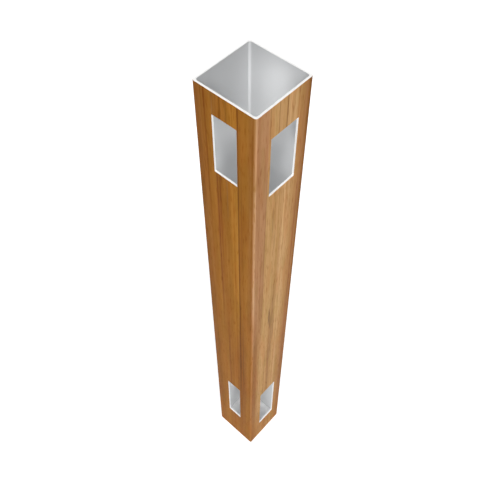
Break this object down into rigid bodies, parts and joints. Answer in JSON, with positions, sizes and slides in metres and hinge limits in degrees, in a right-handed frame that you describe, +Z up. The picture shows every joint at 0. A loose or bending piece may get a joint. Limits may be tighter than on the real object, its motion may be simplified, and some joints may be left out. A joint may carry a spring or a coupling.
{
  "type": "vinyl corner fence post",
  "caption": "Hollow square vinyl fence post with a wood-grain film outside, open at both ends, routed on two adjoining faces to hold rail ends at a corner.",
  "frame": {"origin": "centre of the post's foot, on the surface that it stands on", "axes": "+Z up along the post, -Y out of one routed face and +X out of the other"},
  "size_m": [0.127, 0.127, 1.3716],
  "materials": {
    "white_vinyl": "smooth satin white vinyl, bright on the sawn ends and the routed edges",
    "woodgrain": "printed wood-grain film in golden brown, grain along the post, satin clear top layer"
  },
  "bodies": {
    "root": {"post_extrusion": "white_vinyl", "woodgrain_film": "woodgrain"}
  },
  "joints": []
}
